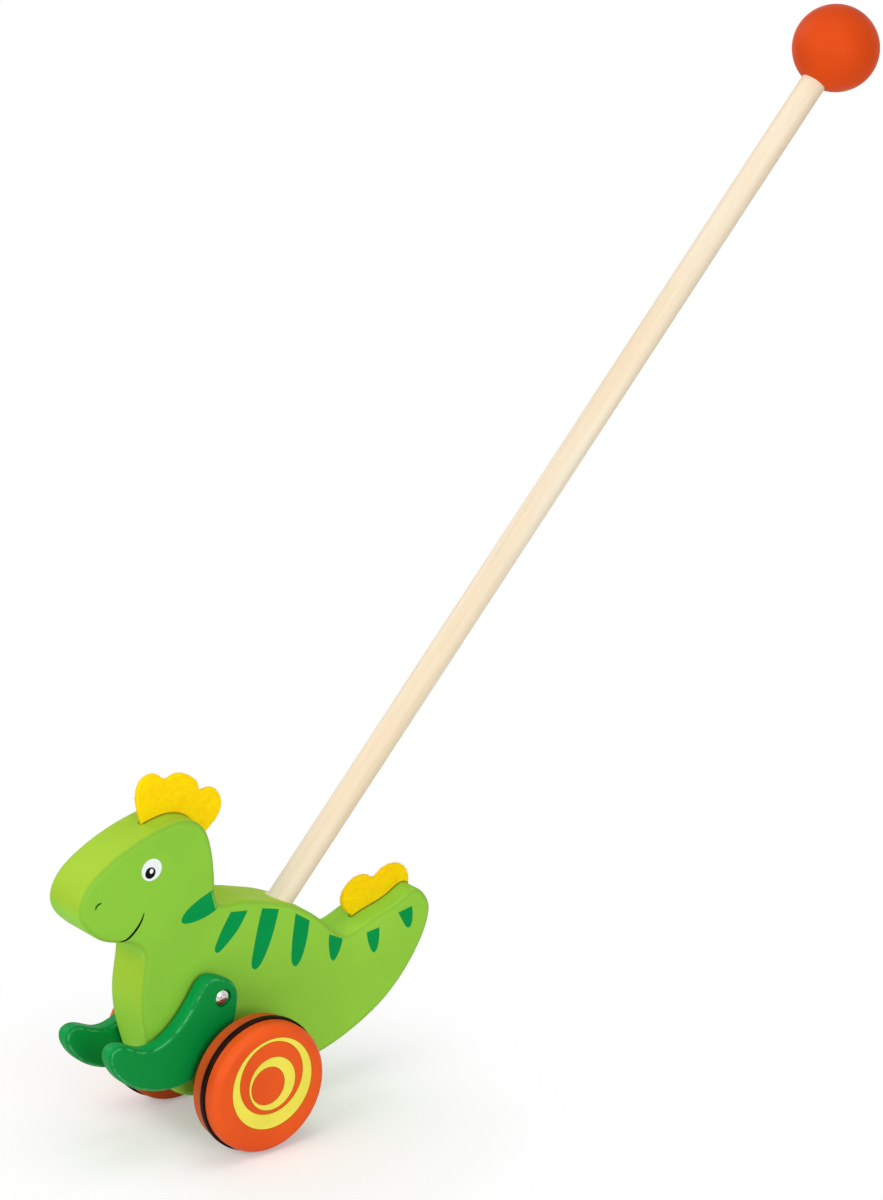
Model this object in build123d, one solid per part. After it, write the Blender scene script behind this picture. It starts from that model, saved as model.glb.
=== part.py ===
from build123d import *
import os
from math import cos, radians, sin

# Toddler push toy: a wooden dinosaur on two wheels, pushed along by a long stick.
# The dinosaur faces -X and its left side is -Y. The floor is Z = 0, under the axle.
# Pegs on the wheels pass under the legs and kick them up as the wheels roll.

# Gaps between pieces: glued or pressed, turning on a pin, beside each other, and felt in its slot
glue_gap = 0.05
turning_gap = 0.1
side_gap = 0.3
felt_gap = 0.3

# Body, sawn from thick board. Its outline is in shares of its length and height, from a point
# that lies the rise straight above the axle
body_length = 220.0
body_height = 155.0
body_rise = 0.6
body_thickness = 28.0
body_rounding = 3.0
body_outline_shares = [
    (-0.400, 0.690),
    (-0.394, 0.728),
    (-0.372, 0.773),
    (-0.334, 0.813),
    (-0.276, 0.853),
    (-0.220, 0.880),
    (-0.168, 0.897),
    (-0.133, 0.903),
    (-0.098, 0.896),
    (-0.068, 0.873),
    (-0.046, 0.830),
    (-0.036, 0.780),
    (-0.030, 0.716),
    (-0.028, 0.647),
    (-0.019, 0.578),
    (0.035, 0.564),
    (0.091, 0.543),
    (0.152, 0.513),
    (0.239, 0.444),
    (0.280, 0.392),
    (0.339, 0.324),
    (0.410, 0.349),
    (0.504, 0.388),
    (0.548, 0.410),
    (0.576, 0.374),
    (0.586, 0.338),
    (0.584, 0.303),
    (0.552, 0.202),
    (0.514, 0.130),
    (0.450, 0.047),
    (0.368, -0.018),
    (0.261, -0.069),
    (0.114, -0.087),
    (0.000, -0.087),
    (-0.110, -0.069),
    (-0.159, -0.025),
    (-0.228, 0.178),
    (-0.238, 0.258),
    (-0.238, 0.344),
    (-0.227, 0.440),
    (-0.228, 0.483),
    (-0.237, 0.504),
    (-0.260, 0.528),
    (-0.309, 0.551),
    (-0.340, 0.571),
    (-0.369, 0.606),
    (-0.391, 0.644),
]

# Stick and ball. The stick stands in a blind hole in the back, at shares of the body
stick_diameter = 13.5
stick_length = 575.0
stick_seat_depth = 45.0
stick_lean = 46.4
stick_seat_shares = (0.205, 0.498)
stick_end_chamfer = 1.0
ball_diameter = 46.0
ball_hole_depth = 26.0

# Felt combs. Their lobes are in shares of each comb's length and height, from its saw cut
felt_thickness = 3.0
felt_rounding = 0.6
slot_depth = 7.0
head_comb_length = 40.0
head_comb_height = 30.0
head_comb_tilt = -28.0
head_comb_seat_shares = (-0.111, 0.832)
head_comb_lobe_shares = [
    (-0.485, 0.010),
    (-0.610, 0.190),
    (-0.710, 0.390),
    (-0.740, 0.640),
    (-0.670, 0.790),
    (-0.530, 0.855),
    (-0.378, 0.825),
    (-0.290, 0.930),
    (-0.150, 1.000),
    (0.020, 0.985),
    (0.130, 0.910),
    (0.175, 0.830),
    (0.330, 0.915),
    (0.510, 0.860),
    (0.610, 0.690),
    (0.605, 0.440),
    (0.530, 0.200),
    (0.480, 0.000),
]
tail_comb_length = 39.0
tail_comb_height = 20.0
tail_comb_tilt = 17.5
tail_comb_seat_shares = (0.480, 0.371)
tail_comb_lobe_shares = [
    (-0.480, 0.130),
    (-0.550, 0.370),
    (-0.550, 0.620),
    (-0.460, 0.850),
    (-0.310, 0.970),
    (-0.160, 0.960),
    (-0.050, 0.830),
    (0.018, 0.680),
    (0.150, 0.730),
    (0.320, 0.720),
    (0.430, 0.620),
    (0.505, 0.430),
    (0.525, 0.200),
    (0.505, 0.000),
    (0.480, -0.160),
]

# Wheels. Each has a rounded rim, a groove for a rubber ring and a blind bore for the axle.
# The wheel stands on the ring, so the ring's diameter sets the height of the axle
ring_diameter = 71.2
ring_proud = 1.2
ring_width = 3.4
ring_depth = 2.8
ring_rounding = 0.8
wheel_thickness = 19.0
wheel_flange = 7.5
wheel_rim_rounding = 4.5
wheel_edge_rounding = 1.2
axle_diameter = 10.0
axle_seat_depth = 13.0
axle_end_chamfer = 0.8
spacer_diameter = 17.0

# Drive pegs on the wheels' inner faces
peg_diameter = 9.6
peg_orbit = 20.1
peg_angle = 187.0
peg_seat_depth = 9.0
peg_rounding = 2.0

# Legs, sawn from thinner board, with their pins. The pin stands ahead of the axle and above it.
# The outline is drawn with the foot at its lowest, where the heel just clears the peg's circle.
# The foot is in shares of the leg's length and drop from the pin, the eye in shares of its own
# radius, and the back in shares of the way from the eye's last point to the top of the heel
leg_thickness = 9.5
leg_rounding = 2.8
leg_wheel_gap = 5.4
leg_passing_gap = 0.5
leg_lifts = {"left": 4.5, "right": 0.7}
leg_length = 69.0
leg_drop = 44.0
leg_eye_radius = 9.6
leg_eye_shares = [
    (-1.18594, 1.05875),
    (-0.64688, 1.25583),
    (0.180, 1.000),
    (0.580, 0.800),
    (0.850, 0.450),
    (1.020, -0.020),
    (1.020, -0.400),
]
leg_back_shares = [
    (0.03194, 0.33869),
    (0.28412, 0.68365),
]
leg_heel_start = 106.0
leg_heel_turn = 60.0
leg_foot_shares = [
    (-0.345, -0.982),
    (-0.500, -0.982),
    (-0.690, -0.906),
    (-0.858, -0.748),
    (-0.954, -0.560),
    (-0.978, -0.440),
    (-0.964, -0.355),
    (-0.915, -0.310),
    (-0.800, -0.345),
    (-0.685, -0.420),
    (-0.560, -0.412),
    (-0.431, -0.302),
    (-0.306, -0.094),
    (-0.215, 0.125),
]
pin_ahead = 10.5
pin_above = 44.2
pin_diameter = 4.0
pin_seat_depth = 10.0
pin_head_diameter = 8.4
pin_head_rim = 0.9
pin_head_height = 2.2
recess_diameter = 9.6
recess_depth = 2.2
washer_thickness = 0.8
washer_diameter = 11.0

# Places that follow from the sizes above
axle_height = ring_diameter / 2
axle_place = (0, axle_height)
wheel_diameter = ring_diameter - 2 * ring_proud
body_side = body_thickness / 2
leg_inside = body_side + washer_thickness + side_gap
leg_outside = leg_inside + leg_thickness
wheel_inside = leg_outside + leg_wheel_gap
wheel_outside = wheel_inside + wheel_thickness
pin_place = (-pin_ahead, axle_height + pin_above)
peg_reach = peg_orbit + peg_diameter / 2
peg_tip = leg_inside + side_gap
SIDES = {"left": -1, "right": 1}


def around(place, radius, angle):
    """The place at that radius and angle from another, seen from the toy's left side."""
    x, z = place
    return (x + radius * cos(radians(angle)), z + radius * sin(radians(angle)))


def on_body(shares):
    """The place at those shares of the body's length and height."""
    along, up = shares
    return (along * body_length, axle_height + body_rise + up * body_height)


def rod(place, diameter, start, end):
    """A round bar across the toy at that place, between two distances from the middle."""
    x, z = place
    bar = Rot(90, 0, 0) * Cylinder(diameter / 2, abs(end - start))
    return Pos(x, (start + end) / 2, z) * bar


def outer_rim(piece, side):
    """The round rim of a turned piece that lies farthest towards that side."""
    rims = piece.edges().filter_by(GeomType.CIRCLE).sort_by(Axis.Y)
    return rims[-1] if side > 0 else rims[0]


def sawn(line, thickness, rounding, middle=0):
    """A piece sawn out of flat board along a closed line, with rounded rims."""
    board = extrude(Plane.XZ * make_face(line), amount=thickness / 2, both=True)
    rims = board.faces().filter_by(Axis.Y).edges()
    return Pos(0, middle, 0) * fillet(rims, rounding)


def comb_placing(seat_shares, tilt):
    """The frame of a felt comb: its own X runs along the slot and its own Z out of the wood."""
    x, z = on_body(seat_shares)
    return Pos(x, 0, z) * Rot(0, -tilt, 0)


def comb(length, height, lobe_shares, seat_shares, tilt):
    """A felt comb: lobes above the wood and a tongue that stands in the saw cut."""
    half = length / 2 - felt_gap
    lobes = Spline(*[(along * length, up * height) for along, up in lobe_shares])
    tongue = Polyline(lobes @ 1, (half, felt_gap - slot_depth), (-half, felt_gap - slot_depth), lobes @ 0)
    return comb_placing(seat_shares, tilt) * sawn([lobes, tongue], felt_thickness, felt_rounding)


def comb_slot(length, height, seat_shares, tilt):
    """The saw cut that a comb stands in, open to above the wood."""
    cut = Box(length, felt_thickness + 2 * felt_gap, slot_depth + height)
    return comb_placing(seat_shares, tilt) * Pos(0, 0, (height - slot_depth) / 2) * cut


# The stick's own frame has its foot at the bottom of the hole and +Z up the stick
seat_x, seat_z = on_body(stick_seat_shares)
stick_placing = Pos(seat_x, 0, seat_z) * Rot(0, 90 - stick_lean, 0) * Pos(0, 0, -stick_seat_depth)
ball_centre = stick_length - ball_hole_depth + ball_diameter / 2


def stick():
    dowel = Cylinder(stick_diameter / 2, stick_length, align=(Align.CENTER, Align.CENTER, Align.MIN))
    return stick_placing * chamfer(dowel.edges().filter_by(GeomType.CIRCLE), stick_end_chamfer)


def stick_hole():
    """The blind hole in the back, which leaves the glue gap round the stick and under it."""
    hole = Cylinder(
        stick_diameter / 2 + glue_gap,
        2 * stick_seat_depth + glue_gap,
        align=(Align.CENTER, Align.CENTER, Align.MIN),
    )
    return stick_placing * Pos(0, 0, -glue_gap) * hole


def handle_ball():
    ball = Pos(0, 0, ball_centre) * Sphere(ball_diameter / 2)
    hole = Cylinder(
        stick_diameter / 2 + glue_gap,
        stick_length + glue_gap,
        align=(Align.CENTER, Align.CENTER, Align.MIN),
    )
    return stick_placing * (ball - hole)


def body():
    outline = Spline(*[on_body(shares) for shares in body_outline_shares], periodic=True)
    wood = sawn(outline, body_thickness, body_rounding)
    wood -= comb_slot(head_comb_length, head_comb_height, head_comb_seat_shares, head_comb_tilt)
    wood -= comb_slot(tail_comb_length, tail_comb_height, tail_comb_seat_shares, tail_comb_tilt)
    wood -= stick_hole()
    wood -= rod(axle_place, axle_diameter + 2 * turning_gap, -body_thickness, body_thickness)
    for side in SIDES.values():
        bottom = side * (body_side - pin_seat_depth - glue_gap)
        wood -= rod(pin_place, pin_diameter + 2 * glue_gap, bottom, side * body_thickness)
    return wood


def axle():
    end = wheel_inside + axle_seat_depth
    bar = rod(axle_place, axle_diameter, -end, end)
    return chamfer(bar.edges().filter_by(GeomType.CIRCLE), axle_end_chamfer)


def wheel(side):
    """A turned wheel: flange, groove for the ring, and outer disc with a well rounded rim."""
    disc = rod(axle_place, wheel_diameter, side * wheel_inside, side * wheel_outside)
    disc = fillet(outer_rim(disc, side), wheel_rim_rounding)
    disc = fillet(outer_rim(disc, -side), wheel_edge_rounding)
    start = side * (wheel_inside + wheel_flange)
    end = start + side * ring_width
    groove_floor = ring_diameter - 2 * ring_depth
    groove = rod(axle_place, ring_diameter, start, end) - rod(axle_place, groove_floor, start, end)
    bore_end = side * (wheel_inside + axle_seat_depth + glue_gap)
    bore = rod(axle_place, axle_diameter + 2 * glue_gap, side * body_side, bore_end)
    peg_place = around(axle_place, peg_orbit, peg_angle)
    peg_hole_end = side * (wheel_inside + peg_seat_depth + glue_gap)
    peg_hole = rod(peg_place, peg_diameter + 2 * glue_gap, side * body_side, peg_hole_end)
    return disc - groove - bore - peg_hole


def wheel_ring(side):
    """The rubber ring in its groove, proud of the wood, so that the wheel rolls on it."""
    start = side * (wheel_inside + wheel_flange + glue_gap)
    end = start + side * (ring_width - 2 * glue_gap)
    ring = rod(axle_place, ring_diameter, start, end)
    ring = fillet(ring.edges().filter_by(GeomType.CIRCLE), ring_rounding)
    hole = rod(axle_place, ring_diameter - 2 * ring_depth + 2 * glue_gap, start, end)
    return ring - hole


def drive_peg(side):
    """The peg that kicks the leg up, pressed into the wheel, with a rounded free end."""
    tip = side * peg_tip
    seat = side * (wheel_inside + peg_seat_depth)
    peg = rod(around(axle_place, peg_orbit, peg_angle), peg_diameter, tip, seat)
    return fillet(outer_rim(peg, -side), peg_rounding)


def axle_spacer(side):
    start = side * (body_side + side_gap)
    end = side * (wheel_inside - glue_gap)
    bore = rod(axle_place, axle_diameter + 2 * glue_gap, start, end)
    return rod(axle_place, spacer_diameter, start, end) - bore


def from_pin(shares, length, height):
    """The places at those shares of a length and a height from the leg's pin."""
    x, z = pin_place
    return [(x + along * length, z + up * height) for along, up in shares]


def leg(side, lift):
    """A leg whose heel follows the path of the peg, with its foot lifted by that many degrees."""
    heel = CenterArc(axle_place, peg_reach + leg_passing_gap, leg_heel_start, leg_heel_turn)
    foot = from_pin(leg_foot_shares, leg_length, leg_drop)
    eye = from_pin(leg_eye_shares, leg_eye_radius, leg_eye_radius)
    eye_x, eye_z = eye[-1]
    drop = heel @ 0 - Vector(eye_x, eye_z)
    back = [(eye_x + along * drop.X, eye_z + down * drop.Y) for along, down in leg_back_shares]
    ends = {"tangents": (heel % 1, heel % 0), "tangent_scalars": (1, 1)}
    rest = Spline(heel @ 1, *foot, *eye, *back, heel @ 0, **ends)
    wood = sawn([heel, rest], leg_thickness, leg_rounding, side * (leg_inside + leg_outside) / 2)
    outside = side * leg_outside
    wood -= rod(pin_place, pin_diameter + 2 * turning_gap, side * body_side, outside)
    wood -= rod(pin_place, recess_diameter, outside - side * recess_depth, outside + side * leg_rounding)
    x, z = pin_place
    pin_axis = Pos(x, 0, z)
    return pin_axis * Rot(0, lift, 0) * pin_axis.inverse() * wood


def leg_washer(side):
    start = side * (body_side + side_gap / 2)
    end = start + side * washer_thickness
    bore = rod(pin_place, pin_diameter + 2 * turning_gap, start, end)
    return rod(pin_place, washer_diameter, start, end) - bore


def leg_pin(side):
    """A metal pin pressed into the body, with a low domed head in the leg's recess."""
    seat = side * (body_side - pin_seat_depth)
    under_head = side * (leg_outside - recess_depth + side_gap)
    head_top = under_head + side * pin_head_height
    shank = rod(pin_place, pin_diameter, seat, under_head)
    head_radius = pin_head_diameter / 2
    dome_height = pin_head_height - pin_head_rim
    dome_radius = (head_radius**2 + dome_height**2) / (2 * dome_height)
    x, z = pin_place
    dome = Pos(x, head_top - side * dome_radius, z) * Sphere(dome_radius)
    return shank + (dome & rod(pin_place, pin_head_diameter, under_head, head_top))


parts = {
    "body": body(),
    "head_comb": comb(
        head_comb_length, head_comb_height, head_comb_lobe_shares, head_comb_seat_shares, head_comb_tilt
    ),
    "tail_comb": comb(
        tail_comb_length, tail_comb_height, tail_comb_lobe_shares, tail_comb_seat_shares, tail_comb_tilt
    ),
    "stick": stick(),
    "handle_ball": handle_ball(),
    "axle": axle(),
}
for name, side in SIDES.items():
    parts[name + "_wheel"] = wheel(side)
    parts[name + "_wheel_ring"] = wheel_ring(side)
    parts[name + "_drive_peg"] = drive_peg(side)
    parts[name + "_axle_spacer"] = axle_spacer(side)
    parts[name + "_leg"] = leg(side, leg_lifts[name])
    parts[name + "_leg_washer"] = leg_washer(side)
    parts[name + "_leg_pin"] = leg_pin(side)

os.makedirs("parts", exist_ok=True)
for name, part in parts.items():
    export_step(part, os.path.join("parts", name + ".step"))
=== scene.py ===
import random
from math import cos, pi, radians, sin

import bmesh
import bpy
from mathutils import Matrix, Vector, noise
from mathutils.bvhtree import BVHTree


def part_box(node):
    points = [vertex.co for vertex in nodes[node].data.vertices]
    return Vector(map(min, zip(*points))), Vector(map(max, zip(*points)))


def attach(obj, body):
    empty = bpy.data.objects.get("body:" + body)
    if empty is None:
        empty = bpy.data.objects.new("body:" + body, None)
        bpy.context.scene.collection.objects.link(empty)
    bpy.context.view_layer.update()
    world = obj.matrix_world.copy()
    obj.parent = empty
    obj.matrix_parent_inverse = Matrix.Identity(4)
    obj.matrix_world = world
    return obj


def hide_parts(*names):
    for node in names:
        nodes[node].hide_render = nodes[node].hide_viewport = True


# Looks of a wooden push toy: a dinosaur on two wheels with a long stick and a ball grip.
# It faces -X and its left side is -Y. Lengths here are in metres, and mm is one millimetre.
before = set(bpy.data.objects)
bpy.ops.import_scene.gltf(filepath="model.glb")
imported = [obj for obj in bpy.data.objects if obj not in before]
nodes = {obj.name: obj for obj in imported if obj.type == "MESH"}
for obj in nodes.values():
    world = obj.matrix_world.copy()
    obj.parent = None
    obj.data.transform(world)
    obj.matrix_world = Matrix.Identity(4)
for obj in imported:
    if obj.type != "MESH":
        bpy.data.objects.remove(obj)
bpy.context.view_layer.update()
mm = 0.001
sides = {"left": -1, "right": 1}


def middle_of(node):
    low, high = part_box(node)
    return (low + high) / 2


axle = middle_of("axle").xz

# The camera stands where the photograph was taken, about 2.5 m from the toy. Angles are in degrees,
# and the sensor is in mm
photo_width = 883
focal_pixels = 4999.4
sensor_width = 36.0
camera_azimuth = -38.191
camera_elevation = 20.417
camera_place = Vector((-1.32556, -1.87176, 1.13466))
camera_nearest = 0.05
camera_farthest = 50.0

# Each light's place, size and strength in watts. With them a matt colour renders about as written
lights = {
    "key": (Vector((-2.3, -0.3, 1.35)), 1.6, 25.0),
    "fill": (Vector((-0.5, -2.5, 1.0)), 1.2, 30.0),
    "top": (Vector((0.1, -0.3, 2.6)), 1.4, 12.0),
    "back": (Vector((-0.6, 2.5, 1.6)), 1.6, 24.0),
}
light_target = Vector((0.0, 0.0, 0.1))
ambient_strength = 0.42
pure_white = (1.0, 1.0, 1.0, 1.0)

# The floor is partly white at the toy and all white further off
floor_size = 14.0
floor_near = 0.05
floor_far = 0.20
floor_whiteness = 0.25
floor_colour = (1.0, 0.995, 0.985, 1.0)
floor_tint = (0.99, 0.985, 0.975, 1.0)
floor_bounce = (0.78, 0.78, 0.76, 1.0)


def linear(red, green, blue):
    """A colour as a shader takes it, from the 0 to 255 values that it shows."""
    def decode(level):
        share = level / 255
        return share / 12.92 if share <= 0.04045 else ((share + 0.055) / 1.055) ** 2.4
    return (decode(red), decode(green), decode(blue), 1.0)


# Colours
body_green = linear(138, 197, 62)
# The sawn edge's own colour where it faces up, with painted light from above in it too
body_edge_green = linear(161, 200, 54)
# Painted light where less light falls: the sides toward the tail, the edge there and facing down
tail_side_painted_light_green = linear(147, 204, 65)
edge_painted_light_green = linear(152, 212, 68)
leg_green = linear(0, 137, 58)
leg_edge_green = linear(0, 146, 68)
# Worn paint with a painted highlight, on the legs' rims
leg_worn_and_highlight_green = linear(72, 180, 106)
stripe_green = linear(0, 147, 72)
nostril_green = linear(16, 92, 28)
wheel_orange = linear(232, 88, 28)
# The wheels' orange made darker for the ball: painted shade for the stronger light on it
ball_painted_shade_orange = linear(214, 74, 22)
ring_yellow = linear(241, 227, 86)
ring_rim_orange = linear(190, 96, 22)
bare_mouth_colour = linear(240, 236, 178)
wood_pale = linear(237, 226, 206)
wood_dark = linear(227, 211, 185)
felt_yellow = linear(255, 222, 0)
felt_amber = linear(255, 210, 0)
# Painted shade at the felt's foot, in the slot where it meets the wood
felt_foot_painted_shade = linear(112, 96, 16)
felt_foot_shade_strength = 0.85
felt_sheen = linear(255, 235, 120)
rubber_black = linear(20, 4, 0)
rubber_dust = linear(38, 16, 10)
eye_white = linear(240, 245, 248)
eye_black = linear(14, 14, 12)
steel_dark = linear(182, 178, 174)
steel_light = linear(226, 224, 221)
nylon_white = linear(236, 234, 226)
nylon_grey = linear(222, 219, 208)

# Shades, which a colour is multiplied by
paint_shade = (0.93, 0.94, 0.92, 1.0)
print_shade = (0.92, 0.94, 0.92, 1.0)
turned_shade = (0.90, 0.86, 0.88, 1.0)
# Painted shade where the sides round into the edge, which the lamps light more
rounding_painted_shade = (0.88, 0.86, 0.90, 1.0)
# Painted shade on the wheels' inner sides, which lie in the shade of the body and legs
wheel_inner_painted_shade = (0.74, 0.94, 1.25, 1.0)
pore_shade = (0.86, 0.80, 0.70, 1.0)
warm_shade = (1.0, 0.965, 0.91, 1.0)
felt_pit_shade = (0.98, 0.94, 0.70, 1.0)

# Where the colour of sawn wood changes: by how far a place faces sideways or up, then by its X.
# The worn rim holds worn paint and a painted highlight. From low to top and toward the tail the
# change is painted light
edge_to_side = (0.30, 0.72)
worn_highlight_rim_start = (0.60, 0.76)
worn_highlight_rim_end = (0.95, 0.84)
low_to_top = (-0.30, 0.25)
top_of_mouth = (0.2, 0.5)
tail_edge_span = (0.03, 0.08)
tail_side_span = (-0.04, 0.09)

# The paint round a bore is off for this width, and its edge is soft and drifts in and out
bare_mouth_width = 1.3 * mm
bare_mouth_blur = 0.26 * mm
bare_mouth_drift = bare_mouth_width / 3

# How softly the painted shade on the wheels' inner sides ends, under the rubber ring
inner_painted_shade_blur = 0.5 * mm


# Shader helpers
def new_material(name):
    material = bpy.data.materials.new(name)
    material.use_nodes = True
    tree = material.node_tree
    return material, tree, tree.nodes["Principled BSDF"]


def feed(tree, node, inputs):
    """Sets a node's inputs, each to a value or to the output that it is linked from."""
    for name, value in inputs.items():
        if isinstance(value, bpy.types.NodeSocket):
            tree.links.new(value, node.inputs[name])
        else:
            node.inputs[name].default_value = value


def put(tree, kind, inputs=None, **settings):
    """A new node with those settings and inputs."""
    node = tree.nodes.new(kind)
    for name, value in settings.items():
        setattr(node, name, value)
    feed(tree, node, inputs or {})
    return node


def object_place(tree):
    return put(tree, "ShaderNodeTexCoord").outputs["Object"]


def attribute(tree, name):
    return put(tree, "ShaderNodeAttribute", attribute_name=name).outputs["Fac"]


def parts(tree, vector):
    """A vector's parts along X, Y and Z."""
    return put(tree, "ShaderNodeSeparateXYZ", {0: vector}).outputs


def length(tree, vector):
    return put(tree, "ShaderNodeVectorMath", {0: vector}, operation="LENGTH").outputs["Value"]


def combine(tree, operation, first, second):
    """A vector worked out from two others."""
    return put(tree, "ShaderNodeVectorMath", {0: first, 1: second}, operation=operation).outputs[0]


def compute(tree, operation, first, second=0.0):
    return put(tree, "ShaderNodeMath", {0: first, 1: second}, operation=operation).outputs[0]


def product(tree, first, *others):
    for other in others:
        first = compute(tree, "MULTIPLY", first, other)
    return first


def spread(tree, value, low, high, start=0.0, end=1.0):
    """A value taken from one range to another, smoothly."""
    inputs = {"Value": value, "From Min": low, "From Max": high, "To Min": start, "To Max": end}
    return put(tree, "ShaderNodeMapRange", inputs, interpolation_type="SMOOTHSTEP").outputs["Result"]


def uneven(tree, pattern, value, drop=0.05, rise=0.06):
    """A value that a pattern moves down and up a little."""
    return spread(tree, pattern, 0.3, 0.7, value - drop, value + rise)


def blend(tree, share, first, second, kind="MIX"):
    """The colour that lies that share of the way from the first to the second."""
    values = {0: share, 6: first, 7: second}
    return put(tree, "ShaderNodeMix", values, data_type="RGBA", blend_type=kind).outputs[2]


def shaded(tree, colour, shade, share):
    """The colour with that share of a shade over it."""
    return blend(tree, share, colour, blend(tree, 1.0, colour, shade, "MULTIPLY"))


def fine_noise(tree, place, scale, detail=3.0, stretch=(1, 1, 1)):
    """Noise of that scale in cycles a metre, stretched along the axes."""
    mapped = put(tree, "ShaderNodeMapping", {"Vector": place, "Scale": stretch}).outputs[0]
    inputs = {"Vector": mapped, "Scale": scale, "Detail": detail}
    return put(tree, "ShaderNodeTexNoise", inputs).outputs["Fac"]


def bump(tree, shader, *layers):
    """Bump from layers of (height, depth in metres)."""
    normal = None
    for height, depth in layers:
        inputs = {"Height": height, "Distance": depth, "Strength": 1.0}
        if normal:
            inputs["Normal"] = normal
        normal = put(tree, "ShaderNodeBump", inputs).outputs[0]
    feed(tree, shader, {"Normal": normal})


# Materials
def bare_mouth(tree, place, upward, axis_place, direction, radius):
    """1 round the mouth of a bore, where it opens upward, and 0 elsewhere."""
    away = combine(tree, "SUBTRACT", place, axis_place)
    distance = length(tree, combine(tree, "CROSS_PRODUCT", away, direction))
    drift = uneven(tree, fine_noise(tree, place, scale=300.0), 0.0, bare_mouth_drift, bare_mouth_drift)
    edge = radius + bare_mouth_width
    reach = compute(tree, "ADD", distance, drift)
    inside = spread(tree, reach, edge + bare_mouth_blur, edge - bare_mouth_blur)
    return product(tree, inside, spread(tree, upward, *top_of_mouth))


def painted_wood(name, colour, edge_colour, roughness, specular, painted_light_colours=None, wear_and_highlight=None, bore=None):
    """Satin paint on sawn wood over faint grain, darker where the sides round into the edge, as painted
    shade.
    The painted light colours are (the sides', the edge's): painted light, lighter where less light falls,
    that the colour changes to toward the tail, and that the edge takes where it faces down too. The wear
    and highlight is (its colour, its strength): worn paint and a painted highlight, in patches on the rim
    of the sides. The bore is (a place on its axis, its direction, its radius), and the paint round its
    mouth is off."""
    material, tree, shader = new_material(name)
    coordinates = put(tree, "ShaderNodeTexCoord").outputs
    place = coordinates["Object"]
    _, sideways, upward = parts(tree, coordinates["Normal"])
    side = compute(tree, "ABSOLUTE", sideways)
    # Painted light: lighter colours toward the tail and where the edge faces down, where less light falls
    if painted_light_colours:
        side_painted_light, edge_painted_light = painted_light_colours
        backward = parts(tree, place)[0]
        top_colour = blend(tree, spread(tree, backward, *tail_edge_span), edge_colour, edge_painted_light)
        edge_colour = blend(tree, spread(tree, upward, *low_to_top), edge_painted_light, top_colour)
        colour = blend(tree, spread(tree, backward, *tail_side_span), colour, side_painted_light)
    base = blend(tree, spread(tree, side, *edge_to_side), edge_colour, colour)
    # Painted shade where the sides round into the edge
    flat = product(tree, side, side)
    rounding = product(tree, flat, 4.0, compute(tree, "SUBTRACT", 1.0, flat))
    base = shaded(tree, base, rounding_painted_shade, rounding)
    cloud = fine_noise(tree, place, scale=22.0, detail=2.0)
    base = shaded(tree, base, paint_shade, spread(tree, cloud, 0.65, 0.35))
    # Worn paint and a painted highlight, in patches on the rim of the sides
    if wear_and_highlight:
        worn_and_highlight_colour, strength = wear_and_highlight
        rim = product(tree, spread(tree, side, *worn_highlight_rim_start), spread(tree, side, *worn_highlight_rim_end))
        patch = spread(tree, fine_noise(tree, place, scale=240.0, detail=4.0), 0.36, 0.60)
        base = blend(tree, product(tree, rim, patch, strength), base, worn_and_highlight_colour)
    if bore:
        base = blend(tree, bare_mouth(tree, place, upward, *bore), base, bare_mouth_colour)
    rough = uneven(tree, fine_noise(tree, place, scale=70.0), roughness)
    feed(tree, shader, {"Base Color": base, "Roughness": rough, "Specular IOR Level": specular})
    grain = fine_noise(tree, place, scale=60.0, detail=4.0, stretch=(0.35, 1.0, 5.0))
    peel = fine_noise(tree, place, scale=420.0, detail=2.0)
    bump(tree, shader, (grain, 0.06 * mm), (peel, 0.03 * mm))
    return material


def turned_wood(name, colour, roughness, specular, middle, inner_painted_shade=None):
    """Semi-gloss paint on a turned piece, with faint marks of the lathe round its middle.
    The inner painted shade is (its shade, its reach): painted shade out to that distance along Y."""
    material, tree, shader = new_material(name)
    place = object_place(tree)
    x, y, z = parts(tree, combine(tree, "SUBTRACT", place, middle))
    radius = length(tree, put(tree, "ShaderNodeCombineXYZ", {0: x, 2: z}).outputs[0])
    lathe = fine_noise(tree, put(tree, "ShaderNodeCombineXYZ", {0: radius}).outputs[0], scale=900.0)
    cloud = fine_noise(tree, place, scale=26.0, detail=2.0)
    base = shaded(tree, colour, turned_shade, spread(tree, cloud, 0.65, 0.35))
    # Painted shade on the inner side, inside the rubber ring
    if inner_painted_shade:
        shade, reach = inner_painted_shade
        outward = compute(tree, "ABSOLUTE", y)
        inner = spread(tree, outward, reach + inner_painted_shade_blur, reach - inner_painted_shade_blur)
        base = shaded(tree, base, shade, inner)
    rough = uneven(tree, fine_noise(tree, place, scale=80.0), roughness)
    feed(tree, shader, {"Base Color": base, "Roughness": rough, "Specular IOR Level": specular})
    peel = fine_noise(tree, place, scale=380.0, detail=2.0)
    bump(tree, shader, (lathe, 0.015 * mm), (peel, 0.03 * mm))
    return material


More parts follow.
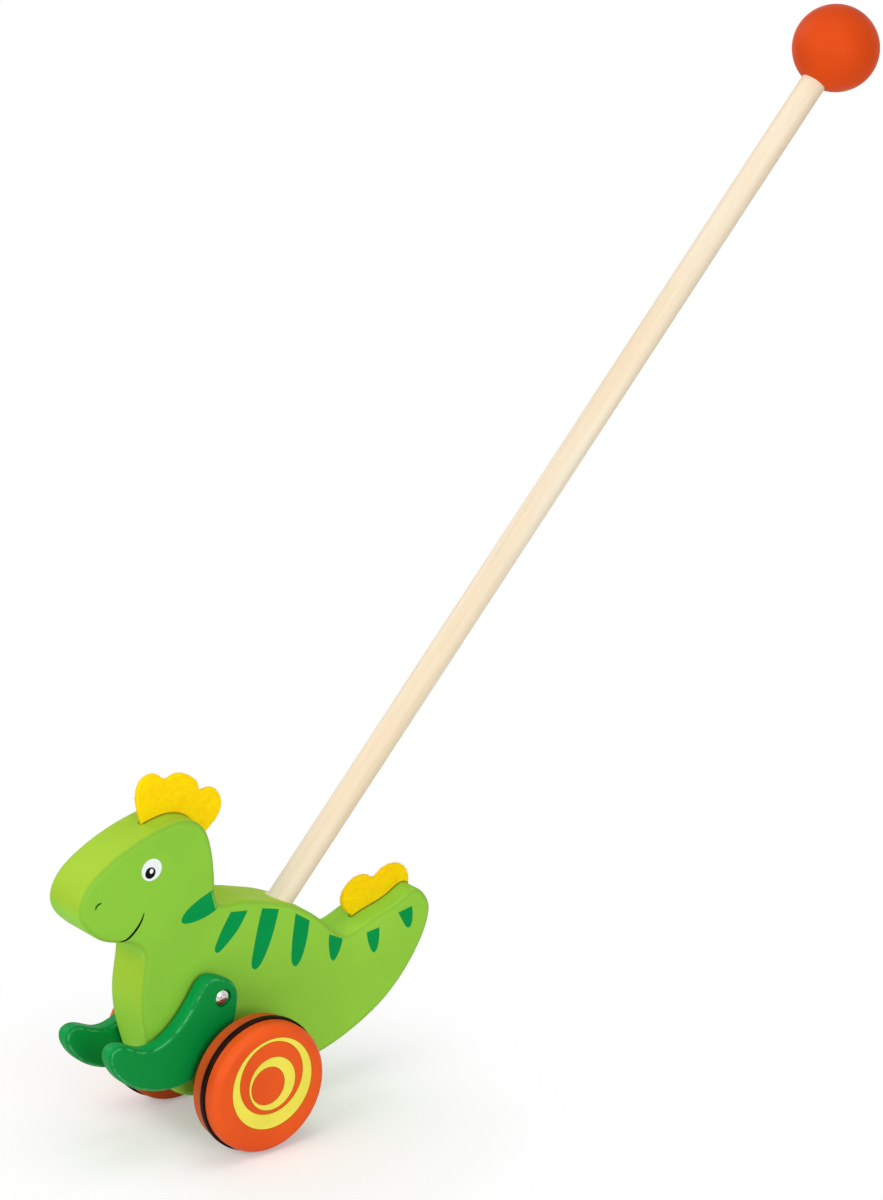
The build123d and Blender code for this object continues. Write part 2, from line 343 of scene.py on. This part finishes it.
def bare_wood(name, direction):
    """Sanded pale wood with long fine grain along that direction."""
    material, tree, shader = new_material(name)
    turn = Vector(direction).rotation_difference(Vector((0, 0, 1))).to_euler()
    upright = put(tree, "ShaderNodeMapping", {"Vector": object_place(tree), "Rotation": turn}).outputs[0]
    bands = fine_noise(tree, upright, scale=110.0, stretch=(1.0, 1.0, 0.035))
    pores = fine_noise(tree, upright, scale=700.0, detail=2.0, stretch=(1.0, 1.0, 0.02))
    cloud = fine_noise(tree, upright, scale=18.0, detail=2.0, stretch=(1.0, 1.0, 0.4))
    base = blend(tree, spread(tree, bands, 0.32, 0.70), wood_pale, wood_dark)
    base = shaded(tree, base, pore_shade, spread(tree, pores, 0.54, 0.76, 0.0, 0.40))
    base = shaded(tree, base, warm_shade, spread(tree, cloud, 0.4, 0.62))
    feed(tree, shader, {"Base Color": base, "Roughness": 0.62, "Specular IOR Level": 0.25})
    bump(tree, shader, (pores, 0.012 * mm), (bands, 0.02 * mm))
    return material


def printed(name, colour, rim_colour=None, roughness=0.38):
    """Printed paint, a little uneven in tone and gloss. Its rim may have another colour."""
    material, tree, shader = new_material(name)
    place = object_place(tree)
    cloud = fine_noise(tree, place, scale=60.0)
    base = shaded(tree, colour, print_shade, spread(tree, cloud, 0.7, 0.3))
    if rim_colour:
        base = blend(tree, spread(tree, attribute(tree, "rim"), 0.35, 0.65), base, rim_colour)
    rough = uneven(tree, cloud, roughness, drop=0.04, rise=0.05)
    feed(tree, shader, {"Base Color": base, "Roughness": rough, "Specular IOR Level": 0.04})
    bump(tree, shader, (fine_noise(tree, place, scale=420.0, detail=2.0), 0.03 * mm))
    return material


def felt(name):
    """Pressed felt: matted fibres, mottled and soft, light in its pile, with painted shade at its foot.
    """
    material, tree, shader = new_material(name)
    place = object_place(tree)
    mat = fine_noise(tree, place, scale=1400.0, detail=4.0)
    tuft = fine_noise(tree, place, scale=260.0)
    cloud = fine_noise(tree, place, scale=60.0, detail=2.0)
    base = blend(tree, spread(tree, tuft, 0.3, 0.7), felt_amber, felt_yellow)
    base = shaded(tree, base, felt_pit_shade, spread(tree, mat, 0.6, 0.35))
    base = blend(tree, spread(tree, cloud, 0.35, 0.7, 0.0, 0.5), base, felt_yellow)
    # Painted shade at the foot, where the felt meets the wood
    base = blend(tree, product(tree, attribute(tree, "foot"), felt_foot_shade_strength), base, felt_foot_painted_shade)
    feed(tree, shader, {"Base Color": base, "Roughness": 0.95, "Specular IOR Level": 0.1})
    feed(tree, shader, {"Sheen Weight": 0.15, "Sheen Roughness": 0.5, "Sheen Tint": felt_sheen})
    bump(tree, shader, (mat, 0.25 * mm), (tuft, 0.2 * mm))
    return material


def rubber(name):
    """Matt black rubber with some dust on it."""
    material, tree, shader = new_material(name)
    place = object_place(tree)
    dust = fine_noise(tree, place, scale=150.0, detail=4.0)
    base = blend(tree, spread(tree, dust, 0.4, 0.75), rubber_black, rubber_dust)
    rough = uneven(tree, dust, 0.42, drop=0.0, rise=0.18)
    feed(tree, shader, {"Base Color": base, "Roughness": rough, "Specular IOR Level": 0.08})
    bump(tree, shader, (fine_noise(tree, place, scale=700.0, detail=2.0), 0.03 * mm))
    return material


def metal(name, roughness, stretch=(1, 1, 1)):
    """Plain steel with fine scratches, drawn out where it was turned."""
    material, tree, shader = new_material(name)
    place = object_place(tree)
    scratches = fine_noise(tree, place, scale=900.0, stretch=stretch)
    base = blend(tree, spread(tree, scratches, 0.35, 0.65), steel_dark, steel_light)
    rough = uneven(tree, scratches, roughness, drop=0.0, rise=0.12)
    feed(tree, shader, {"Base Color": base, "Roughness": rough, "Metallic": 1.0})
    dents = fine_noise(tree, place, scale=300.0, detail=2.0)
    bump(tree, shader, (scratches, 0.02 * mm), (dents, 0.12 * mm))
    return material


def nylon(name):
    """Plain pale nylon."""
    material, tree, shader = new_material(name)
    place = object_place(tree)
    base = blend(tree, fine_noise(tree, place, scale=200.0), nylon_white, nylon_grey)
    feed(tree, shader, {"Base Color": base, "Roughness": 0.45})
    bump(tree, shader, (fine_noise(tree, place, scale=900.0, detail=2.0), 0.01 * mm))
    return material


def dress(node, material):
    """Gives every material slot of a CAD node that material."""
    mesh = nodes[node].data
    if not mesh.materials:
        mesh.materials.append(material)
    for slot in nodes[node].material_slots:
        slot.material = material


def dress_nodes():
    """The materials of the CAD nodes that stay in view."""
    stick, ball = middle_of("stick"), middle_of("handle_ball")
    stick_low, stick_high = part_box("stick")
    stick_radius = (stick_high.y - stick_low.y) / 2
    lean = (ball - stick).normalized()
    body_paint = painted_wood(
        "light_green_paint", body_green, body_edge_green, roughness=0.50, specular=0.05,
        painted_light_colours=(tail_side_painted_light_green, edge_painted_light_green), bore=(stick, lean, stick_radius),
    )
    dress("body", body_paint)
    dress("stick", bare_wood("stick_wood", lean))
    ball_paint = turned_wood(
        "orange_ball_paint", ball_painted_shade_orange, roughness=0.40, specular=0.03, middle=ball,
    )
    dress("handle_ball", ball_paint)
    dress("axle", metal("steel", roughness=0.28, stretch=(1, 0.05, 1)))
    ring_reach = middle_of("right_wheel_ring").y
    wheel_paint = turned_wood(
        "orange_wheel_paint", wheel_orange, roughness=0.40, specular=0.10,
        middle=middle_of("axle"), inner_painted_shade=(wheel_inner_painted_shade, ring_reach),
    )
    leg_paint = painted_wood(
        "dark_green_paint", leg_green, leg_edge_green, roughness=0.46, specular=0.10,
        wear_and_highlight=(leg_worn_and_highlight_green, 0.65),
    )
    paired = {
        "leg": leg_paint,
        "wheel": wheel_paint,
        "drive_peg": wheel_paint,
        "wheel_ring": rubber("black_rubber"),
        "axle_spacer": bare_wood("spacer_wood", (0, 1, 0)),
        "leg_pin": metal("bright_steel", roughness=0.12),
        "leg_washer": nylon("nylon"),
    }
    for node, material in paired.items():
        for side in sides:
            dress(f"{side}_{node}", material)


# Curves in the plane of the toy's sides
def smooth(points, count):
    """Places along a smooth curve through the points, that many between each two."""
    places = []
    padded = [points[0], *points, points[-1]]
    for start in range(len(points) - 1):
        p0, p1, p2, p3 = [Vector(p) for p in padded[start:start + 4]]
        for step in range(count):
            t = step / count
            bend = 2 * p0 - 5 * p1 + 4 * p2 - p3
            twist = 3 * p1 - p0 - 3 * p2 + p3
            places.append((2 * p1 + (p2 - p0) * t + bend * t * t + twist * t ** 3) / 2)
    return [*places, Vector(points[-1])]


def along(places, share):
    """The place at that share of a line's length."""
    lengths = [(b - a).length for a, b in zip(places, places[1:])]
    left = share * sum(lengths)
    for a, b, step in zip(places, places[1:], lengths):
        if left <= step:
            return a.lerp(b, left / step if step else 0.0)
        left -= step
    return places[-1]


def around(count):
    """That many angles, evenly round a circle."""
    return [2 * pi * step / count for step in range(count)]


def from_axle(x, z):
    """The place of a point of the toy's side, in metres, from its place in mm from the axle."""
    return Vector((axle.x + x * mm, axle.y + z * mm))


# Thin films of paint. This is how thick the first coat is, and how deep each reaches into the wood
film = 0.03 * mm


def placed(name, data):
    """A new object in the scene."""
    made = bpy.data.objects.new(name, data)
    bpy.context.scene.collection.objects.link(made)
    return made


def mesh_of(name, shape, material):
    """The mesh of a finished bmesh, with that material."""
    mesh = bpy.data.meshes.new(name)
    shape.to_mesh(mesh)
    shape.free()
    mesh.materials.append(material)
    return mesh


def film_piece(name, grid, surface, body, material, closed=False, lift=film, rims=None):
    """A thin closed film over a surface. The grid holds rows of (x, z) places, and surface gives
    the place on the carrier that each one lies on and the normal there. The rows of a closed grid go
    all the way round. The rims give 1 for each place of the grid that is on a rim, and else 0."""
    shape = bmesh.new()
    rim_layer = shape.verts.layers.float.new("rim")
    sheets = []
    for height in (lift, -film):
        sheet = []
        for i, row in enumerate(grid):
            verts = []
            for j, (x, z) in enumerate(row):
                spot, normal = surface(x, z)
                vert = shape.verts.new(spot + normal * height)
                vert[rim_layer] = rims[i][j] if rims else 0.0
                verts.append(vert)
            sheet.append(verts)
        sheets.append(sheet)
    front, back = sheets
    rows, columns = len(grid), len(grid[0])
    wrap = columns if closed else columns - 1
    for i in range(rows - 1):
        for j in range(wrap):
            k = (j + 1) % columns
            shape.faces.new((front[i][j], front[i][k], front[i + 1][k], front[i + 1][j]))
            shape.faces.new((back[i + 1][j], back[i + 1][k], back[i][k], back[i][j]))
    for i in (0, rows - 1):
        for j in range(wrap):
            k = (j + 1) % columns
            shape.faces.new((front[i][j], back[i][j], back[i][k], front[i][k]))
    if not closed:
        for j in (0, columns - 1):
            for i in range(rows - 1):
                shape.faces.new((front[i][j], front[i + 1][j], back[i + 1][j], back[i][j]))
    bmesh.ops.remove_doubles(shape, verts=shape.verts, dist=film / 10)
    bmesh.ops.recalc_face_normals(shape, faces=shape.faces)
    piece = placed(name, mesh_of(name, shape, material))
    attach(piece, body)
    return piece


def on_node(node, outward):
    """A function that gives the place and normal on a node's left or right side at x and z."""
    tree = BVHTree.FromObject(nodes[node], bpy.context.evaluated_depsgraph_get())
    start = outward * 2 * max(abs(corner.y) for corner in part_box(node))

    def surface(x, z):
        spot, normal, _, _ = tree.ray_cast(Vector((x, start, z)), Vector((0, -outward, 0)))
        if spot is None:
            raise ValueError(f"a film on {node} reaches past it at {x}, {z}")
        return spot, normal
    return surface


# Places on the toy's sides are in mm, from the middle of the axle.
# Stripes, each from the back edge round the tip to the back edge again
stripe_outlines = [
    [(-7.6, 99.3), (-16.3, 96.3), (-22.5, 93.3), (-26.4, 90.3), (-27.8, 87.3),
     (-25.6, 85.3), (-18.9, 84.8), (-11.2, 86.1), (-4.8, 88.5)],
    [(2.3, 84.0), (-1.6, 78.5), (-5.0, 73.0), (-7.9, 66.8), (-6.6, 64.2),
     (-3.4, 65.2), (4.8, 71.6), (9.2, 76.8), (12.7, 82.1)],
    [(21.7, 80.8), (19.3, 73.2), (16.9, 63.8), (14.5, 52.2), (16.5, 48.6),
     (20.2, 50.5), (24.6, 57.4), (28.7, 66.8), (32.0, 77.5)],
    [(42.4, 72.2), (41.1, 64.8), (39.9, 56.4), (39.5, 46.8), (41.7, 43.2),
     (44.8, 45.2), (47.4, 50.4), (49.7, 58.0), (51.1, 66.0)],
    [(63.5, 54.8), (63.1, 51.8), (63.1, 48.2), (64.0, 41.8), (66.0, 39.5),
     (68.2, 41.4), (69.8, 44.0), (71.1, 47.2), (72.0, 50.0)],
    [(87.2, 49.2), (87.6, 46.4), (88.3, 43.3), (90.0, 38.8), (92.0, 36.8),
     (93.9, 38.5), (94.9, 41.6), (95.4, 45.8), (95.4, 50.0)],
    [(107.7, 54.7), (108.9, 52.2), (110.3, 49.6), (112.3, 45.9), (114.4, 44.5),
     (116.1, 45.8), (116.8, 48.4), (117.0, 52.2), (116.6, 56.0)],
]
stripe_smoothing = 12
stripe_rows = 30
stripe_columns = 10
stripe_crowding = 1.5

# Face
eye_centre = (-45.0, 119.6)
eye_size = (12.0, 11.5)
pupil_centre = (-45.8, 118.1)
pupil_size = (6.2, 6.0)
glint_centre = (-45.1, 118.9)
glint_size = (2.2, 2.6)
oval_steps = 64
oval_rings = 5
smile_points = [(-49.9, 98.0), (-52.3, 93.2), (-56.6, 88.8), (-60.8, 86.4), (-64.6, 85.9)]
smile_width = 1.4
nostril_points = [(-78.7, 107.1), (-78.1, 108.8), (-76.7, 109.7), (-74.8, 109.8)]
nostril_width = 1.1
stroke_smoothing = 10
stroke_columns = 4
stroke_thinnest = 0.12
stroke_fullness = 0.6

# Rings on the wheels' outer faces: centre and radius of the inner and the outer line. Rows of
# places lie across each ring, and its rim takes at most that share of its width
wheel_rings = {
    "inner": ((-1.7, 2.6, 9.85), (1.0, 3.15, 14.55)),
    "outer": ((0.5, 6.4, 19.1), (1.0, 3.15, 24.7)),
}
ring_steps = 120
ring_rim = 0.4
ring_rim_share = 0.2
ring_rim_blur = 1.3
ring_rows_on_rim = (1.0, 1.0, 0.0, 0.0, 0.0, 1.0, 1.0)


def stripe(name, points, surface, material):
    """A stripe with its two long sides taken in step from the back edge to the tip, where its rows
    lie closer."""
    outline = smooth([from_axle(*point) for point in points], stripe_smoothing)
    tip = len(outline) // 2
    long_sides = outline[:tip + 1], outline[tip:][::-1]
    grid = []
    for i in range(stripe_rows + 1):
        share = 1 - (1 - i / stripe_rows) ** stripe_crowding
        near, far = [along(line, share) for line in long_sides]
        grid.append([near.lerp(far, k / stripe_columns) for k in range(stripe_columns + 1)])
    return film_piece(name, grid, surface, "toy", material)


def oval(name, centre, size, surface, material, coats):
    """A filled oval as rings about its centre, that many coats of paint above the surface."""
    grid = []
    for ring in range(oval_rings + 1):
        row = []
        for angle in around(oval_steps):
            x = centre[0] + size[0] / 2 * ring / oval_rings * cos(angle)
            z = centre[1] + size[1] / 2 * ring / oval_rings * sin(angle)
            row.append(from_axle(x, z))
        grid.append(row)
    return film_piece(name, grid, surface, "toy", material, closed=True, lift=coats * film)


def stroke(name, points, width, surface, material):
    """A line that swells in the middle and thins out to its ends."""
    line = smooth([from_axle(*point) for point in points], stroke_smoothing)
    last = len(line) - 1
    grid = []
    for i, place in enumerate(line):
        ahead = line[min(i + 1, last)] - line[max(i - 1, 0)]
        across = Vector((-ahead.y, ahead.x)).normalized()
        swell = stroke_thinnest + (1 - stroke_thinnest) * sin(pi * i / last) ** stroke_fullness
        grid.append([
            place + across * (width * mm * swell * (k / stroke_columns - 0.5))
            for k in range(stroke_columns + 1)
        ])
    return film_piece(name, grid, surface, "toy", material)


def wheel_ring_paint(side, ring, material):
    """The paint between two circles that aren't quite about one centre. Its rims are marked."""
    outward = sides[side]
    low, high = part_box(f"{side}_wheel")
    face = low.y if outward < 0 else high.y

    def flat(x, z):
        return Vector((x, face, z)), Vector((0, outward, 0))
    circles = []
    for x, z, radius in wheel_rings[ring]:
        circles.append([
            from_axle(x + radius * cos(angle), z + radius * sin(angle))
            for angle in around(ring_steps)
        ])
    grid, rims = [[] for _ in ring_rows_on_rim], [[] for _ in ring_rows_on_rim]
    for inner, outer in zip(*circles):
        rim = min(ring_rim_share, ring_rim * mm / (outer - inner).length)
        inside = ring_rim_blur * rim
        shares = (0, rim, inside, 0.5, 1 - inside, 1 - rim, 1)
        for row, (share, on_rim) in enumerate(zip(shares, ring_rows_on_rim)):
            grid[row].append(inner.lerp(outer, share))
            rims[row].append(on_rim)
    name = f"{side}_wheel_{ring}_paint"
    return film_piece(name, grid, flat, "wheelset", material, closed=True, rims=rims)


def paint_sides():
    """Stripes and face on both sides of the body, and rings on both wheels."""
    stripes = printed("stripe_paint", stripe_green)
    green = printed("nostril_paint", nostril_green)
    white = printed("eye_white_paint", eye_white, roughness=0.3)
    black = printed("eye_black_paint", eye_black, roughness=0.3)
    yellow = printed("yellow_paint", ring_yellow, ring_rim_orange)
    for side, outward in sides.items():
        surface = on_node("body", outward)
        for number, points in enumerate(stripe_outlines, 1):
            piece = stripe(f"{side}_stripe_{number}", points, surface, stripes)
        oval(f"{side}_eye_white", eye_centre, eye_size, surface, white, 1)
        oval(f"{side}_pupil", pupil_centre, pupil_size, surface, black, 2)
        oval(f"{side}_eye_glint", glint_centre, glint_size, surface, white, 3)
        stroke(f"{side}_smile", smile_points, smile_width, surface, black)
        stroke(f"{side}_nostril", nostril_points, nostril_width, surface, green)
        for ring in wheel_rings:
            wheel_ring_paint(side, ring, yellow)


# Felt combs: each one's cut size and area in metres, and the seed of its lumps and fibres
combs = {
    "head_comb": ((0.054, 0.037), 0.00159, 3),
    "tail_comb": ((0.042, 0.026), 0.00089, 8),
}
felt_grid = 0.5 * mm
felt_soft_rounds = 3
felt_soft_factor = 0.5
felt_unevenness = 0.14 * mm
felt_foot_near = 0.45 * mm
felt_foot_far = 1.0 * mm

# Lumps in the felt: their scale in cycles a metre and their shares of the unevenness. The surface
# sinks by the last share, so that no lump stands out too far
broad_lumps = 180
broad_lump_share = 0.6
small_lumps = 700
small_lump_share = 0.5
lump_sink = 0.3

# Loose fibres. They keep clear of the wood, sway from the surface's normal and bend halfway
fuzz_count = 2600
fuzz_length = (0.5 * mm, 1.5 * mm)
fuzz_radius = 0.035 * mm
fuzz_taper = 0.8
fuzz_sway = 0.9
fuzz_bend = 0.7
fuzz_clearance = 2.2 * mm


def soft_copy(node):
    """A copy of a comb's solid as an even mesh with soft rims."""
    mesh = nodes[node].data.copy()
    mesh.materials.clear()
    piece = placed(node + "_felt", mesh)
    remesh = piece.modifiers.new("even", "REMESH")
    remesh.mode = "VOXEL"
    remesh.voxel_size = felt_grid
    soften = piece.modifiers.new("soften", "SMOOTH")
    soften.iterations = felt_soft_rounds
    soften.factor = felt_soft_factor
    graph = bpy.context.evaluated_depsgraph_get()
    piece.data = bpy.data.meshes.new_from_object(piece.evaluated_get(graph))
    piece.modifiers.clear()
    return piece


def roughen(mesh, seed, wood):
    """Makes the felt lumpy, and marks its foot for painted shade: 1 near the wood, 0 away from it."""
    lumps = bmesh.new()
    lumps.from_mesh(mesh)
    lumps.normal_update()
    moved = []
    for vert in lumps.verts:
        broad = noise.noise(vert.co * broad_lumps + Vector((seed, 0, 0)))
        small = noise.noise(vert.co * small_lumps + Vector((0, seed, 0)))
        rise = broad_lump_share * broad + small_lump_share * small - lump_sink
        moved.append(vert.co + vert.normal * felt_unevenness * rise)
    for vert, place in zip(lumps.verts, moved):
        vert.co = place
    foot = lumps.verts.layers.float.new("foot")
    for vert in lumps.verts:
        place, _, _, distance = wood.find_nearest(vert.co, felt_foot_far)
        if place is not None:
            vert[foot] = min(1.0, (felt_foot_far - distance) / (felt_foot_far - felt_foot_near))
    lumps.to_mesh(mesh)
    lumps.free()


def random_vector(dice):
    return Vector([dice.uniform(-1, 1) for _ in range(3)])


def add_hair(hairs, root, middle, tip, lean):
    """A hair of three sides from its root, which is in the felt, through its middle to its tip."""
    side = lean.orthogonal().normalized()
    other = lean.cross(side)
    rings = []
    for centre, radius in ((root, fuzz_radius), (middle, fuzz_radius * fuzz_taper)):
        rings.append([
            hairs.verts.new(centre + (side * cos(angle) + other * sin(angle)) * radius)
            for angle in around(3)
        ])
    low, high = rings
    end = hairs.verts.new(tip)
    for k in range(3):
        j = (k + 1) % 3
        hairs.faces.new((low[k], low[j], high[j], high[k]))
        hairs.faces.new((high[k], high[j], end))
    hairs.faces.new(low[::-1])


def fuzz(piece, node, seed, wood, material):
    """Loose fibres on the felt: thin tapered hairs, bent over, that stand off its surface."""
    dice = random.Random(seed)
    faces = list(piece.data.polygons)
    hairs = bmesh.new()
    made = 0
    while made < fuzz_count:
        face = dice.choice(faces)
        root, normal = face.center.copy(), face.normal.copy()
        if wood.find_nearest(root, fuzz_clearance)[0] is not None:
            continue
        made += 1
        sway = random_vector(dice)
        half = dice.uniform(*fuzz_length) * 0.5
        lean = (normal + sway * fuzz_sway).normalized()
        tip_way = (lean + random_vector(dice) * fuzz_bend).normalized()
        middle = root + lean * half
        add_hair(hairs, root - normal * fuzz_radius * 2, middle, middle + tip_way * half, lean)
    mesh = mesh_of(node + "_fuzz", hairs, material)
    mesh.shade_smooth()
    pile = placed(node + "_fuzz", mesh)
    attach(pile, "toy")
    return pile


def felt_comb(node, seed, material):
    """A comb of pressed felt on the comb's shape: soft rims, a lumpy surface and loose fibres."""
    piece = soft_copy(node)
    wood = BVHTree.FromObject(nodes["body"], bpy.context.evaluated_depsgraph_get())
    roughen(piece.data, seed, wood)
    piece.data.materials.clear()
    piece.data.materials.append(material)
    piece.data.shade_smooth()
    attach(piece, "toy")
    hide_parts(node)
    pile = fuzz(piece, node, seed, wood, material)


# Camera, light and floor
def look(thing, direction):
    """Turns a camera or a light to look in that direction."""
    thing.rotation_mode = "QUATERNION"
    thing.rotation_quaternion = direction.to_track_quat("-Z", "Y")


def make_camera():
    """The camera as it was fitted to the photograph."""
    data = bpy.data.cameras.new("camera")
    data.sensor_fit = "HORIZONTAL"
    data.sensor_width = sensor_width
    data.lens = sensor_width * focal_pixels / photo_width
    data.clip_start = camera_nearest
    data.clip_end = camera_farthest
    camera = placed("camera", data)
    turn, rise = radians(camera_azimuth), radians(camera_elevation)
    back = Vector((sin(turn) * cos(rise), -cos(turn) * cos(rise), sin(rise)))
    camera.location = camera_place
    look(camera, -back)
    bpy.context.scene.camera = camera


def area_light(name, place, size, strength):
    """A square soft light that looks at the toy."""
    data = bpy.data.lights.new(name, "AREA")
    data.shape = "SQUARE"
    data.size = size
    data.energy = strength
    lamp = placed(name, data)
    lamp.location = place
    look(lamp, light_target - place)


def seen_directly(tree):
    """1 for rays that show the world or the floor as such, and 0 for rays that only light things."""
    path = put(tree, "ShaderNodeLightPath").outputs
    seen = compute(tree, "MAXIMUM", path["Is Camera Ray"], path["Is Glossy Ray"])
    return compute(tree, "MAXIMUM", seen, path["Is Transmission Ray"])


def make_world():
    """White to look at, with less light in it than it shows."""
    world = bpy.data.worlds.new("studio")
    world.use_nodes = True
    bpy.context.scene.world = world
    tree = world.node_tree
    strength = spread(tree, seen_directly(tree), 0.0, 1.0, ambient_strength, 1.0)
    feed(tree, tree.nodes["Background"], {"Color": pure_white, "Strength": strength})


def make_floor():
    """A pale floor that fades to white away from the toy, and bounces less light than it shows."""
    material, tree, shader = new_material("floor")
    place = object_place(tree)
    tint = blend(tree, fine_noise(tree, place, scale=3.0, detail=2.0), floor_colour, floor_tint)
    seen = seen_directly(tree)
    base = blend(tree, seen, floor_bounce, tint)
    feed(tree, shader, {"Base Color": base, "Roughness": 0.9, "Specular IOR Level": 0.0})
    fade = spread(tree, length(tree, place), floor_near, floor_far, floor_whiteness, 1.0)
    white = put(tree, "ShaderNodeEmission", {"Color": pure_white, "Strength": 1.0}).outputs[0]
    mix = put(tree, "ShaderNodeMixShader", {0: product(tree, fade, seen), 1: shader.outputs[0], 2: white})
    feed(tree, tree.nodes["Material Output"], {"Surface": mix.outputs[0]})
    half = floor_size / 2
    corners = [(-half, -half, 0), (half, -half, 0), (half, half, 0), (-half, half, 0)]
    mesh = bpy.data.meshes.new("floor")
    mesh.from_pydata(corners, [], [(0, 1, 2, 3)])
    mesh.materials.append(material)
    placed("floor", mesh)


make_camera()
make_world()
make_floor()
for name, (place, size, strength) in lights.items():
    area_light(name, place, size, strength)
dress_nodes()
paint_sides()
yellow_felt = felt("yellow_felt")
for node, (cut, area, seed) in combs.items():
    felt_comb(node, seed, yellow_felt)
bpy.context.scene.view_settings.view_transform = "Standard"
